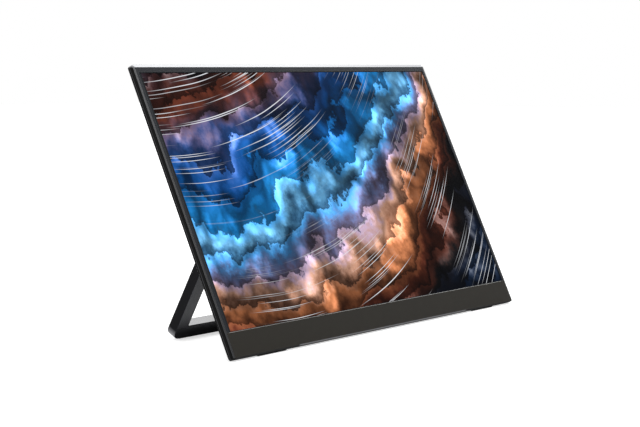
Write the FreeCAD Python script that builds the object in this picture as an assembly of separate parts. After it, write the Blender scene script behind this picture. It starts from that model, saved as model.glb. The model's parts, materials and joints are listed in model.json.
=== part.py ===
import FreeCAD, Part
import math
import os

# The case is drawn in its own frame: X to the right seen from the front, Y from the front face
# to the back, Z up along the case, with zero at the middle of the picture on the front face.
# The stand is drawn folded flat in the same frame, then opened about its hinge.
# At the end the whole monitor is leaned back and set on its feet, with +Z up.
# Lengths are in millimetres and angles in degrees.

# Picture and case
picture_width = 344.2
picture_height = 193.6
side_border = 5.2
top_border = 6.7
chin_height = 19.2
case_lean = 25.3
case_corner = 2.0
bevel_width = 2.3
bevel_depth = 0.8
bevel_corner = 0.6
frame_depth = 2.9
frame_bottom_bar = 1.5
shell_skin = 0.8
shell_wall = 1.0
shell_edge = 0.5

# Chin cover
chin_gap = 0.5
chin_depth = 0.95
chin_chamfer = 0.4
chin_lower_edge = 0.8
chin_platform = 3.3
chin_side_gap = 0.1

# Display module, from the front face to the back
screen_recess = 0.5
lip_depth = 0.45
polarizer_thickness = 0.15
glass_thickness = 0.5
film_thickness = 0.15
film_count = 3
guide_thickness = 0.9
reflector_thickness = 0.2
tray_thickness = 0.3
tape_thickness = 0.55

# Display module, outlines beyond the picture
window_gap = 0.4
glass_margin = 2.0
filter_ledge = 3.1
tft_ledge = 5.5
polarizer_inset = 0.3
film_margin = 0.4
module_margin = 2.9
module_ledge = 7.0
module_gap = 0.3
frame_film_gap = 0.4
tray_wall_rise = 1.65
tape_width = 8.0

# Light strip at the lower edge of the light guide
strip_height = 2.6
strip_thickness = 0.15
strip_gap = 0.2
diode_count = 48
diode_width = 3.0
diode_height = 0.8
diode_depth = 0.7

# Driver board behind the chin
driver_board_inset = 57.3
driver_board_height = 8.0
driver_board_thickness = 1.0
driver_board_drop = 1.2
driver_film_count = 6
driver_film_width = 24.0
driver_film_thickness = 0.1
driver_film_overlap = 2.0

# Feet under the lower edge
foot_inset = 28.3
foot_length = 31.0
foot_radius = 1.2
foot_setback = 3.4
foot_seat = 0.5
foot_end_slope = 1.5
seat_gap = 0.1

# Stand
stand_leg_width = 11.8
stand_bar_height = 10.7
stand_thickness = 8.2
stand_length = 98.4
stand_end_gap = 1.5
stand_corner = 6.0
stand_inner_corner = 1.2
stand_edge = 0.45
stand_gap = 0.3
widest_angle = 90.0
groove_width = 42.0
groove_depth = 1.6

# Rubber pad on the end of the stand
pad_radius = 1.7
pad_sink = 0.15
pad_offset = 1.7
pad_end_inset = 9.0
pad_seat = 1.0

# Stand hinge
shaft_radius = 1.2
shaft_cover = 1.6
shaft_fit = 0.05
shaft_seat_fit = 0.02
barrel_radius = 2.2
barrel_length = 10.0
barrel_gap = 0.3
bracket_thickness = 0.9
bracket_width = 18.6
bracket_height = 15.0
bracket_notch = 0.5
disc_thickness = 0.35
disc_count = 4
disc_gap = 0.1
nut_length = 1.8
nut_radius = 2.1
shaft_tail = 0.4
set_screw_radius = 0.8

# Rear housing over the lower half of the back
housing_side_gap = 11.3
housing_wing_width = 28.3
housing_band = 14.8
housing_foot_gap = 4.3
housing_corner = 8.0
housing_skin = 1.2
housing_wall = 1.5
housing_edge = 0.8
channel_gap = 0.4
shaft_slot_gap = 0.3
vent_count = 15
vent_width = 2.0
vent_height = 15.0
vent_pitch = 6.0
vent_drop = 35.0
grille_count = 6
grille_width = 24.0
grille_height = 1.3
grille_pitch = 2.7

# Boards
board_lift = 1.0
board_thickness = 1.0
board_hole_inset = 3.5
main_board_side_gap = 22.0
main_board_height = 50.0
main_board_rise = 17.3
socket_board_width = 18.3
socket_board_rise = 12.5
socket_board_height = 74.0
key_board_width = 10.0
key_board_rise = 26.5
key_board_height = 50.0
board_wall_gap = 0.2
key_board_wall_gap = 3.5

# Parts on the main board
chip_size = 14.0
chip_thickness = 1.2
memory_width = 9.0
memory_height = 7.0
memory_thickness = 0.9
memory_gap = 4.0
coil_size = 5.6
coil_height = 3.0
coil_pitch = 9.0
coil_count = 3
coil_corner = 1.0
connector_depth = 4.2
connector_rise = 1.8
connector_side = 1.4

# Ribbon cables
ribbon_width = 5.0
ribbon_thickness = 0.2
ribbon_overlap = 6.0
ribbon_inset = 12.0
display_ribbon_width = 20.0
display_ribbon_offset = 0.0
cable_slot_height = 2.6
cable_slot_margin = 1.5
cable_slot_rise = 4.0

# Sockets in the right wing, their heights above the housing's lower end
socket_setback = 0.6
socket_fit = 0.15
usb_width = 8.94
usb_height = 3.16
usb_depth = 7.4
usb_wall = 0.3
usb_tongue_width = 6.7
usb_tongue_height = 0.7
usb_tongue_depth = 5.8
usb_first_rise = 70.5
usb_pitch = 14.0
hdmi_width = 11.2
hdmi_height = 3.2
hdmi_depth = 7.5
hdmi_wall = 0.35
hdmi_corner = 0.9
hdmi_tongue_width = 7.9
hdmi_tongue_height = 0.6
hdmi_tongue_depth = 5.6
hdmi_rise = 40.5
jack_bore_radius = 1.8
jack_bore_depth = 12.6
jack_nose_radius = 2.4
jack_nose_setback = 0.3
jack_body_width = 6.0
jack_body_height = 4.8
jack_body_depth = 12.0
jack_rise = 25.5
jack_board_gap = 0.1

# Keys in the left wing, their heights above the housing's lower end
key_height = 2.6
key_proud = 0.5
key_gap = 0.2
key_rest_gap = 0.05
key_flange = 0.8
key_flange_thickness = 0.6
key_stem = 1.8
power_key_length = 8.0
power_key_rise = 66.5
power_key_travel = 0.4
rocker_length = 18.0
rocker_rise = 42.5
rocker_angle = 2.5
rocker_foot_reach = 7.0
rocker_flange_gap = 0.6
rocker_hub_radius = 1.0
rocker_pin_radius = 0.5
rocker_pin_fit = 0.05
switch_clearance = 0.15
switch_depth = 3.4
switch_width = 4.5
switch_height = 3.0
light_radius = 0.7
light_fit = 0.05
light_rise = 56.0
light_length = 4.6
diode_block = 1.4

# Speakers
speaker_side_gap = 5.1
speaker_width = 40.0
speaker_height = 20.0
speaker_rise = 4.0
speaker_lift = 0.4
speaker_depth = 4.6
cone_inset = 3.0
cone_depth = 0.6
gasket_width = 1.6
mesh_thickness = 0.3
lead_radius = 0.45
lead_spacing = 1.2
lead_reach = 6.0
lead_rise = 5.8

# Standoffs and screws
standoff_radius = 2.1
standoff_bore = 0.85
screw_radius = 0.8
screw_head_radius = 1.6
screw_head_height = 0.7
screw_hole_gap = 0.15
screw_tip_gap = 0.3
housing_screw_length = 5.0
screw_inset = 5.2
wing_screw_rise = 7.0
island_screw_reach = 30.0
top_screw_reach = 20.0
cross_width = 0.4
cross_depth = 0.35
cross_share = 0.62

# Shared by all cuts, by the limit on rounded edges and by the search for edges along a direction
overrun = 1.0
round_share = 0.49
parallel_share = 0.99
edge_tolerance = 0.1

Vector = FreeCAD.Vector
along_x = Vector(1, 0, 0)
along_y = Vector(0, 1, 0)

# Places worked out from the sizes above
case_half = picture_width / 2 + side_border
case_top = picture_height / 2 + top_border
case_bottom = -picture_height / 2 - chin_height
chin_top = -picture_height / 2 - chin_gap

polarizer_y = screen_recess
filter_y = polarizer_y + polarizer_thickness
tft_y = filter_y + glass_thickness
rear_polarizer_y = tft_y + glass_thickness
films_y = rear_polarizer_y + polarizer_thickness
guide_y = films_y + film_count * film_thickness
reflector_y = guide_y + guide_thickness
tray_y = reflector_y + reflector_thickness
tape_y = tray_y + tray_thickness
skin_y = tape_y + tape_thickness
back_y = skin_y + shell_skin

module_half = picture_width / 2 + module_margin
module_top = picture_height / 2 + module_margin
module_bottom = -picture_height / 2 - module_ledge
film_half = picture_width / 2 + film_margin
film_top = picture_height / 2 + film_margin
film_bottom = -picture_height / 2 - film_margin
frame_inner_half = film_half + frame_film_gap

housing_half_width = case_half - housing_side_gap
wing_inner = housing_half_width - housing_wing_width
stand_half = wing_inner - channel_gap
stand_inner = stand_half - stand_leg_width
stand_front = back_y + stand_gap
stand_back = stand_front + stand_thickness
stand_middle = (stand_front + stand_back) / 2
stand_end = case_bottom + stand_end_gap
hinge_z = stand_end + stand_length
bar_top = stand_end + stand_bar_height

housing_back = stand_back
housing_inner = housing_back - housing_skin
housing_bottom = case_bottom + housing_foot_gap
channel_top = hinge_z + stand_thickness / 2 + channel_gap
housing_top = channel_top + housing_band
island_half = stand_inner - channel_gap
island_bottom = bar_top + channel_gap
cavity_half = housing_half_width - housing_wall
band_middle = (channel_top + housing_top) / 2

board_y = back_y + board_lift
board_back = board_y + board_thickness
port_y = board_back + hdmi_height / 2
ribbon_y = board_back
main_board_bottom = island_bottom + main_board_rise
main_board_top = main_board_bottom + main_board_height
socket_board_inner = cavity_half - board_wall_gap - socket_board_width
socket_board_bottom = housing_bottom + socket_board_rise
socket_board_top = socket_board_bottom + socket_board_height
key_board_outer = cavity_half - key_board_wall_gap
key_board_inner = key_board_outer - key_board_width
key_board_bottom = housing_bottom + key_board_rise
key_board_top = key_board_bottom + key_board_height

speaker_outer = island_half - housing_wall - speaker_side_gap
speaker_inner = speaker_outer - speaker_width
main_board_half = speaker_inner - main_board_side_gap
ribbon_inner = main_board_half - ribbon_inset
speaker_bottom = island_bottom + housing_wall + speaker_rise
speaker_top = speaker_bottom + speaker_height
speaker_y = back_y + speaker_lift
speaker_back = speaker_y + speaker_depth
mesh_y = housing_inner - mesh_thickness

plate_y = stand_middle - barrel_radius
barrel_outer = island_half - housing_wall - barrel_gap
barrel_inner = barrel_outer - barrel_length
plate_top = hinge_z - barrel_radius - bracket_notch
plate_bottom = plate_top - bracket_height

usb_places = (housing_bottom + usb_first_rise, housing_bottom + usb_first_rise - usb_pitch)
hdmi_z = housing_bottom + hdmi_rise
jack_z = housing_bottom + jack_rise
power_key_z = housing_bottom + power_key_rise
rocker_z = housing_bottom + rocker_rise
light_z = housing_bottom + light_rise

# Pin of the rocker, whose flange clears the wall by its own gap
rocker_pin_x = -(cavity_half - rocker_flange_gap - key_flange_thickness)


def span(middle, size):
    return (middle - size / 2, middle + size / 2)


def mirror_span(pair):
    return (-pair[1], -pair[0])


def block(x, y, z):
    size = (x[1] - x[0], y[1] - y[0], z[1] - z[0])
    return Part.makeBox(size[0], size[1], size[2], Vector(x[0], y[0], z[0]))


# A block whose four edges along one direction are rounded, no more than its walls allow
def rounded_block(x, y, z, radius, direction):
    body = block(x, y, z)
    sides = [pair[1] - pair[0] for pair, way in zip((x, y, z), direction) if not way]
    edges = [edge for edge in body.Edges
             if abs(edge.tangentAt(edge.FirstParameter).dot(direction)) > parallel_share]
    return body.makeFillet(min(radius, round_share * min(sides)), edges)


def rod(start, direction, radius, length):
    return Part.makeCylinder(radius, length, start, direction)


def tube(start, direction, outer, inner, length):
    return rod(start, direction, outer, length).cut(rod(start, direction, inner, length))


# A closed outline in the YZ plane, drawn along X between two places
def bar_along_x(outline, x):
    points = [Vector(x[0], y, z) for y, z in outline]
    face = Part.Face(Part.makePolygon(points + points[:1]))
    return face.extrude(Vector(x[1] - x[0], 0, 0))


# A rounded rectangle lying in a plane of constant Y
def rounded_wire(x, z, radius, y):
    corners = [(x[1], z[0], -90), (x[1], z[1], 0), (x[0], z[1], 90), (x[0], z[0], 180)]
    edges = []
    for index, (cx, cz, start) in enumerate(corners):
        inward = (math.copysign(radius, -cx + sum(x) / 2), math.copysign(radius, -cz + sum(z) / 2))
        middle = (cx + inward[0], cz + inward[1])
        turns = [math.radians(start + part) for part in (0, 45, 90)]
        arc = [Vector(middle[0] + radius * math.cos(t), y, middle[1] + radius * math.sin(t)) for t in turns]
        edges.append(arc)
    path = []
    for index, arc in enumerate(edges):
        following = edges[(index + 1) % len(edges)]
        path.append(Part.Arc(*arc).toShape())
        path.append(Part.LineSegment(arc[-1], following[0]).toShape())
    return Part.Wire(path)


def mirrored(shape):
    return shape.mirror(Vector(0, 0, 0), along_x)


# A screw whose head rests on a face and whose shank runs on along the direction
def screw(seat, direction, length):
    head = rod(seat, -direction, screw_head_radius, screw_head_height)
    body = head.fuse(rod(seat, direction, screw_radius, length))
    reach = screw_head_radius * cross_share
    top = seat.y - direction.y * screw_head_height
    inner = top + direction.y * cross_depth
    depth = (min(top, inner), max(top, inner))
    for wide, tall in ((reach, cross_width / 2), (cross_width / 2, reach)):
        body = body.cut(block((seat.x - wide, seat.x + wide), depth, (seat.z - tall, seat.z + tall)))
    return body.removeSplitter()


def plain_screw(seat, direction, length):
    head = rod(seat, -direction, screw_head_radius, screw_head_height)
    return head.fuse(rod(seat, direction, screw_radius, length)).removeSplitter()


def whole_case(y):
    return rounded_block((-case_half, case_half), y, (case_bottom, case_top), case_corner, along_y)


# Front bezel frame: bevelled on the left, top and right, with the window for the picture
def make_bezel_frame():
    inner_x = (-case_half + bevel_width, case_half - bevel_width)
    front = rounded_wire(inner_x, (case_bottom, case_top - bevel_width), bevel_corner, 0)
    rear = rounded_wire((-case_half, case_half), (case_bottom, case_top), case_corner, bevel_depth)
    body = Part.makeLoft([front, rear], True, True).fuse(whole_case((bevel_depth, frame_depth)))
    window_half = picture_width / 2 + window_gap
    window_top = picture_height / 2 + window_gap
    cavity_x = module_half + module_gap
    board_x = cavity_x - chin_platform
    cuts = [
        block((-window_half, window_half), (-overrun, frame_depth), (chin_top, window_top)),
        block((-cavity_x, cavity_x), (lip_depth, frame_depth + overrun),
              (module_bottom - module_gap, module_top + module_gap)),
        block((-board_x, board_x), (lip_depth, frame_depth + overrun),
              (case_bottom + frame_bottom_bar, module_bottom)),
        block(inner_x, (-overrun, chin_depth), (case_bottom - overrun, chin_top)),
    ]
    return body.cut(cuts + foot_seats()).removeSplitter()


# Chin cover: a thin lip over the screen's border, a thicker strip over the driver board
def make_chin_cover():
    half = case_half - bevel_width - chin_side_gap
    step = -picture_height / 2 - filter_ledge - module_gap
    outline = [
        (0, case_bottom + chin_lower_edge),
        (0, chin_top - chin_chamfer),
        (chin_chamfer, chin_top),
        (lip_depth, chin_top),
        (lip_depth, step),
        (chin_depth, step),
        (chin_depth, case_bottom),
        (chin_lower_edge, case_bottom),
    ]
    return bar_along_x(outline, (-half, half))


def layer(half, y, thickness, z):
    return block((-half, half), (y, y + thickness), z)


def make_display():
    glass_half = picture_width / 2 + glass_margin
    glass_top = picture_height / 2 + glass_margin
    filter_bottom = -picture_height / 2 - filter_ledge
    tft_bottom = -picture_height / 2 - tft_ledge
    front_z = (filter_bottom + polarizer_inset, glass_top - polarizer_inset)
    film_z = (film_bottom, film_top)
    films = [layer(film_half, films_y + index * film_thickness, film_thickness, film_z)
             for index in range(film_count)]
    return {
        "front_polarizer": layer(glass_half - polarizer_inset, polarizer_y, polarizer_thickness, front_z),
        "color_filter_glass": layer(glass_half, filter_y, glass_thickness, (filter_bottom, glass_top)),
        "thin_film_glass": layer(glass_half, tft_y, glass_thickness, (tft_bottom, glass_top)),
        "rear_polarizer": layer(film_half, rear_polarizer_y, polarizer_thickness, film_z),
        "optical_films": Part.makeCompound(films),
        "light_guide": layer(film_half, guide_y, guide_thickness, film_z),
        "reflector_sheet": layer(film_half, reflector_y, reflector_thickness,
                                 (film_bottom - strip_gap - strip_height, film_top)),
        "module_frame": make_module_frame(),
        "module_tray": make_module_tray(),
    }


# Plastic frame of the module, which carries the glass around the films and the light guide
def make_module_frame():
    outer = module_half - tray_thickness
    outer_z = (module_bottom, module_top - tray_thickness)
    body = block((-outer, outer), (rear_polarizer_y, tray_y), outer_z)
    lower = film_bottom - strip_gap - strip_height - frame_film_gap
    opening = block((-frame_inner_half, frame_inner_half), (rear_polarizer_y, tray_y),
                    (lower, film_top + frame_film_gap))
    return body.cut(opening)


# Steel tray behind the module, turned up along the sides and the top
def make_module_tray():
    plate = block((-module_half, module_half), (tray_y, tape_y), (module_bottom, module_top))
    wall_y = (tray_y - tray_wall_rise + tray_thickness, tray_y)
    wall_z = (module_bottom, module_top)
    left = block((-module_half, -module_half + tray_thickness), wall_y, wall_z)
    top = block((-module_half, module_half), wall_y, (module_top - tray_thickness, module_top))
    return plate.fuse([left, mirrored(left), top]).removeSplitter()


def make_light_strip():
    top = film_bottom - strip_gap
    strip_y = (reflector_y - strip_thickness, reflector_y)
    strip = block((-film_half, film_half), strip_y, (top - strip_height, top))
    pitch = 2 * film_half / diode_count
    diodes = []
    for index in range(diode_count):
        middle = -film_half + (index + 0.5) * pitch
        depth = (strip_y[0] - diode_depth, strip_y[0])
        diodes.append(block(span(middle, diode_width), depth, (top - diode_height, top)))
    return {"light_strip": strip, "backlight_diodes": Part.makeCompound(diodes)}


# Foam tape that holds the tray to the shell, open at the bottom middle for the display cable
def make_panel_tape():
    y = (tape_y, skin_y)
    side = block((-module_half, -module_half + tape_width), y, (module_bottom, module_top - tape_width))
    top = block((-module_half, module_half), y, (module_top - tape_width, module_top))
    low = block((-module_half + tape_width, -display_ribbon_width), y,
                (module_bottom, module_bottom + tape_width))
    return Part.makeCompound([top, side, mirrored(side), low, mirrored(low)])


# Driver board and the bonded films that join it to the ledge of the thin film glass
def make_driver_board():
    top = module_bottom - driver_board_drop
    half = case_half - driver_board_inset
    board = block((-half, half), (tft_y, tft_y + driver_board_thickness), (top - driver_board_height, top))
    ledge = -picture_height / 2 - tft_ledge
    pitch = 2 * half / driver_film_count
    films = []
    for index in range(driver_film_count):
        middle = -half + (index + 0.5) * pitch
        depth = (tft_y - driver_film_thickness, tft_y)
        height = (top - driver_film_overlap, ledge + driver_film_overlap)
        films.append(block(span(middle, driver_film_width), depth, height))
    return {"driver_board": board, "driver_films": Part.makeCompound(films)}


def foot_span():
    return (case_half - foot_inset - foot_length, case_half - foot_inset)


# Pockets under the lower edge, across the seam, that the feet are glued into
def foot_seats():
    x = (foot_span()[0] - seat_gap, foot_span()[1] + seat_gap)
    y = span(foot_setback, 2 * (foot_radius + seat_gap))
    pocket = block(x, y, (case_bottom - overrun, case_bottom + foot_seat))
    return [pocket, mirrored(pocket)]


# Rubber foot: flat where it sits in its pocket, a round nose below, sloped at its ends
def make_foot():
    x = foot_span()
    middle_z = case_bottom + foot_seat - seat_gap
    nose = rod(Vector(x[0], foot_setback, middle_z), along_x, foot_radius, foot_length)
    base = block(x, span(foot_setback, 2 * foot_radius), (middle_z, case_bottom + foot_seat))
    lower = block(x, span(foot_setback, 2 * foot_radius), (middle_z - foot_radius, middle_z))
    body = nose.common(lower).fuse(base)
    low = middle_z - foot_radius - overrun
    slope = foot_end_slope * (case_bottom - low) / foot_radius
    top = case_bottom + foot_seat
    points = [(x[0], top), (x[0], case_bottom), (x[0] + slope, low),
              (x[1] - slope, low), (x[1], case_bottom), (x[1], top)]
    wire = Part.makePolygon([Vector(px, foot_setback - foot_radius, pz) for px, pz in points + points[:1]])
    sides = Part.Face(wire).extrude(Vector(0, 2 * foot_radius, 0))
    return body.common(sides).removeSplitter()


# Rear shell: a shallow tray with a chamfered rear edge and a slot for the display cable
def make_rear_shell():
    body = whole_case((frame_depth, back_y))
    rim = [edge for edge in body.Edges if abs(edge.BoundBox.YMin - back_y) < edge_tolerance]
    body = body.makeChamfer(shell_edge, rim)
    inner_x = (-case_half + shell_wall, case_half - shell_wall)
    inner = rounded_block(inner_x, (frame_depth - overrun, skin_y),
                          (case_bottom + shell_wall, case_top - shell_wall),
                          case_corner - shell_wall, along_y)
    return body.cut([inner, cable_slot()] + foot_seats()).removeSplitter()


def cable_slot_z():
    low = island_bottom + housing_wall + cable_slot_rise
    return (low, low + cable_slot_height)


def cable_slot():
    half = display_ribbon_width / 2 + cable_slot_margin
    x = (display_ribbon_offset - half, display_ribbon_offset + half)
    return block(x, (skin_y - overrun, back_y + overrun), cable_slot_z())


# Rear housing, drawn as a rounded block less the channel of the folded stand.
# The inset shrinks the block and widens the channel, which gives the hollow inside the walls.
def housing_block(inset, y):
    half = housing_half_width - inset
    body = rounded_block((-half, half), y, (housing_bottom + inset, housing_top - inset),
                         housing_corner - inset, along_y)
    deep = (y[0] - overrun, y[1] + overrun)
    low = housing_bottom - overrun
    leg = block((island_half - inset, wing_inner + inset), deep, (low, channel_top + inset))
    bar = block((-wing_inner - inset, wing_inner + inset), deep, (low, island_bottom + inset))
    return body.cut([leg, mirrored(leg), bar])


def grille_slots():
    middle = (speaker_inner + speaker_outer) / 2
    height = (speaker_bottom + speaker_top) / 2
    slots = []
    for index in range(grille_count):
        z = height + (index - (grille_count - 1) / 2) * grille_pitch
        y = (housing_inner - overrun, housing_back + overrun)
        slots.append(rounded_block(span(middle, grille_width), y, span(z, grille_height),
                                   grille_height, along_y))
    return slots


def vent_slots():
    slots = []
    for index in range(vent_count):
        middle = (index - (vent_count - 1) / 2) * vent_pitch
        y = (housing_inner - overrun, housing_back + overrun)
        slots.append(rounded_block(span(middle, vent_width), y, span(housing_top - vent_drop, vent_height),
                                   vent_width, along_y))
    return slots


def housing_screw_places():
    wing_x = (wing_inner + housing_half_width) / 2
    return [
        (housing_half_width - screw_inset, housing_top - screw_inset),
        (wing_x, housing_bottom + wing_screw_rise),
        (island_screw_reach, island_bottom + screw_inset),
        (top_screw_reach, band_middle),
    ]


def both_sides(places):
    return places + [(-x, z) for x, z in places]


def wall_opening(middle_z, width, height, corner, x):
    return rounded_block(x, span(port_y, height), span(middle_z, width), corner, along_x)


def port_openings():
    x = (cavity_half - overrun, housing_half_width + overrun)
    openings = [wall_opening(z, usb_width + 2 * socket_fit, usb_height + 2 * socket_fit, usb_height, x)
                for z in usb_places]
    openings.append(wall_opening(hdmi_z, hdmi_width + 2 * socket_fit, hdmi_height + 2 * socket_fit,
                                 hdmi_corner, x))
    openings.append(rod(Vector(x[0], port_y, jack_z), along_x, jack_nose_radius + socket_fit,
                        x[1] - x[0]))
    return openings


def key_openings():
    x = mirror_span((cavity_half - overrun, housing_half_width + overrun))
    keys = ((power_key_z, power_key_length), (rocker_z, rocker_length))
    openings = [wall_opening(z, length + 2 * key_gap, key_height + 2 * key_gap, key_height, x)
                for z, length in keys]
    openings.append(rod(Vector(x[0], port_y, light_z), along_x, light_radius + light_fit, x[1] - x[0]))
    return openings


def make_rear_housing():
    body = housing_block(0, (back_y, housing_back))
    rim = [edge for edge in body.Edges if abs(edge.BoundBox.YMin - housing_back) < edge_tolerance]
    body = body.makeChamfer(housing_edge, rim)
    cuts = [housing_block(housing_wall, (back_y - overrun, housing_inner))]
    cuts += grille_slots() + [mirrored(slot) for slot in grille_slots()] + vent_slots()
    cuts += port_openings() + key_openings()
    slot = shaft_radius + shaft_slot_gap
    wall_x = (island_half - housing_wall - overrun, island_half + overrun)
    passage = rod(Vector(wall_x[0], stand_middle, hinge_z), along_x, slot, wall_x[1] - wall_x[0])
    entry = block(wall_x, (back_y - overrun, stand_middle), (hinge_z - slot, hinge_z + slot))
    cuts += [passage, entry, mirrored(passage), mirrored(entry)]
    for x, z in both_sides(housing_screw_places()):
        cuts.append(rod(Vector(x, housing_back - screw_head_height, z), along_y,
                        screw_head_radius + screw_hole_gap, screw_head_height + overrun))
        cuts.append(rod(Vector(x, housing_inner - overrun, z), along_y,
                        screw_radius + screw_hole_gap, housing_skin + 2 * overrun))
    return body.cut(cuts).removeSplitter()


# Standoffs under the housing's skin and the screws that hold it
def make_housing_fixings():
    standoffs = []
    screws = []
    for x, z in both_sides(housing_screw_places()):
        standoffs.append(tube(Vector(x, back_y, z), along_y, standoff_radius, standoff_bore,
                              housing_inner - back_y))
        seat = Vector(x, housing_back - screw_head_height, z)
        screws.append(screw(seat, -along_y, housing_screw_length))
    return {"housing_standoffs": Part.makeCompound(standoffs), "housing_screws": Part.makeCompound(screws)}


def board_places():
    main_x = main_board_half - board_hole_inset
    places = [(sign * main_x, z) for sign in (-1, 1)
              for z in (main_board_top - board_hole_inset, main_board_bottom + board_hole_inset)]
    socket_x = socket_board_inner + board_hole_inset
    places += [(socket_x, usb_places[0]), (socket_x, socket_board_bottom + board_hole_inset)]
    key_x = -key_board_inner - board_hole_inset
    places += [(key_x, (power_key_z + light_z) / 2), (key_x, key_board_bottom + board_hole_inset)]
    return places


def board_holes():
    return [rod(Vector(x, board_y - overrun, z), along_y, screw_radius + screw_hole_gap,
                board_thickness + 2 * overrun) for x, z in board_places()]


def make_boards():
    y = (board_y, board_back)
    main_board = block((-main_board_half, main_board_half), y, (main_board_bottom, main_board_top))
    socket_x = (socket_board_inner, socket_board_inner + socket_board_width)
    socket_board = block(socket_x, y, (socket_board_bottom, socket_board_top))
    notch_x = (cavity_half - jack_body_depth - jack_board_gap, cavity_half + overrun)
    notch = block(notch_x, (board_y - overrun, board_back + overrun),
                  span(jack_z, jack_body_width + 2 * jack_board_gap))
    key_board = block((-key_board_outer, -key_board_inner), y, (key_board_bottom, key_board_top))
    standoffs = []
    screws = []
    for x, z in board_places():
        standoffs.append(tube(Vector(x, back_y, z), along_y, standoff_radius, standoff_bore, board_lift))
        length = board_thickness + board_lift - screw_tip_gap
        screws.append(plain_screw(Vector(x, board_back, z), -along_y, length))
    return {
        "main_board": main_board.cut(board_holes()),
        "socket_board": socket_board.cut(board_holes() + [notch]),
        "key_board": key_board.cut(board_holes()),
        "board_standoffs": Part.makeCompound(standoffs),
        "board_screws": Part.makeCompound(screws),
    }


# Scaler chip with its pad, memory chips and power coils on the back of the main board
def make_board_parts():
    middle_z = (main_board_top + main_board_bottom) / 2
    chip_y = (board_back, board_back + chip_thickness)
    chip = block(span(0, chip_size), chip_y, span(middle_z, chip_size))
    pad = block(span(0, chip_size), (chip_y[1], housing_inner), span(middle_z, chip_size))
    memory_outer = chip_size / 2 + memory_gap + memory_width
    memory_x = memory_outer - memory_width / 2
    memory_y = (board_back, board_back + memory_thickness)
    memory = [block(span(sign * memory_x, memory_width), memory_y, span(middle_z + rise, memory_height))
              for sign in (-1, 1) for rise in (-memory_height, memory_height)]
    coil_x = (memory_outer + main_board_half) / 2
    coils = [rounded_block(span(coil_x, coil_size), (board_back, board_back + coil_height),
                           span(middle_z + (index - (coil_count - 1) / 2) * coil_pitch, coil_size),
                           coil_corner, along_y)
             for index in range(coil_count)]
    return {
        "board_chips": Part.makeCompound([chip] + memory),
        "thermal_pad": pad,
        "power_coils": Part.makeCompound(coils),
    }


# A flat ribbon from a wing's board up into the band over the hinge and down to the main board
def wing_ribbon(wing_middle, board_top):
    y = (ribbon_y, ribbon_y + ribbon_thickness)
    band = span(band_middle, ribbon_width)
    outer = span(wing_middle, ribbon_width)
    inner = span(ribbon_inner, ribbon_width)
    down = block(outer, y, (board_top - ribbon_overlap, band[1]))
    across = block((inner[0], outer[1]), y, band)
    back = block(inner, y, (main_board_top - ribbon_overlap, band[1]))
    return down.fuse([across, back]).removeSplitter()


# The display cable: over the main board's edge, through the shell's slot, behind the tray, and
# forward onto the back of the driver board
def display_ribbon():
    t = ribbon_thickness
    slot = cable_slot_z()
    drop_z = (slot[0] + slot[1]) / 2
    behind = (tape_y + skin_y) / 2
    board_face = tft_y + driver_board_thickness
    driver_top = module_bottom - driver_board_drop
    turn_z = (module_bottom + driver_top) / 2
    outline = [
        (board_back, main_board_bottom + ribbon_overlap),
        (board_back + t, main_board_bottom + ribbon_overlap),
        (board_back + t, drop_z - t / 2),
        (behind + t / 2, drop_z - t / 2),
        (behind + t / 2, turn_z - t / 2),
        (board_face + t, turn_z - t / 2),
        (board_face + t, driver_top - ribbon_overlap),
        (board_face, driver_top - ribbon_overlap),
        (board_face, turn_z + t / 2),
        (behind - t / 2, turn_z + t / 2),
        (behind - t / 2, drop_z + t / 2),
        (board_back, drop_z + t / 2),
    ]
    half = display_ribbon_width / 2
    return bar_along_x(outline, (display_ribbon_offset - half, display_ribbon_offset + half))


def make_ribbons():
    socket_middle = socket_board_inner + socket_board_width / 2
    key_middle = (key_board_inner + key_board_outer) / 2
    socket_ribbon = wing_ribbon(socket_middle, socket_board_top)
    key_ribbon = mirrored(wing_ribbon(key_middle, key_board_top))
    display = display_ribbon()
    y = (board_back, board_back + connector_rise)
    tall = (main_board_top - ribbon_overlap, main_board_top - ribbon_overlap + connector_depth)
    wide = ribbon_width + 2 * connector_side
    blocks = [
        block(span(ribbon_inner, wide), y, tall),
        block(span(-ribbon_inner, wide), y, tall),
        block(span(socket_middle, wide), y, (socket_board_top - ribbon_overlap,
                                             socket_board_top - ribbon_overlap + connector_depth)),
        block(span(-key_middle, wide), y, (key_board_top - ribbon_overlap,
                                           key_board_top - ribbon_overlap + connector_depth)),
        block(span(display_ribbon_offset, display_ribbon_width + 2 * connector_side), y,
              (main_board_bottom + ribbon_overlap - connector_depth, main_board_bottom + ribbon_overlap)),
    ]
    connectors = [body.cut([socket_ribbon, key_ribbon, display]) for body in blocks]
    return {
        "socket_ribbon": socket_ribbon,
        "key_ribbon": key_ribbon,
        "display_ribbon": display,
        "ribbon_connectors": Part.makeCompound(connectors),
    }


# Metal socket shells with a closed rear wall, and the tongues inside them
def socket_shell(z, width, height, depth, wall, corner):
    front = housing_half_width - socket_setback
    x = (front - depth, front)
    outer = wall_opening(z, width, height, corner, x)
    inner = wall_opening(z, width - 2 * wall, height - 2 * wall, corner - wall,
                         (x[0] + wall, front + overrun))
    return outer.cut(inner)


def socket_tongue(z, width, height, depth, shell_depth, wall):
    rear = housing_half_width - socket_setback - shell_depth + wall
    return block((rear, rear + depth), span(port_y, height), span(z, width))


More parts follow.
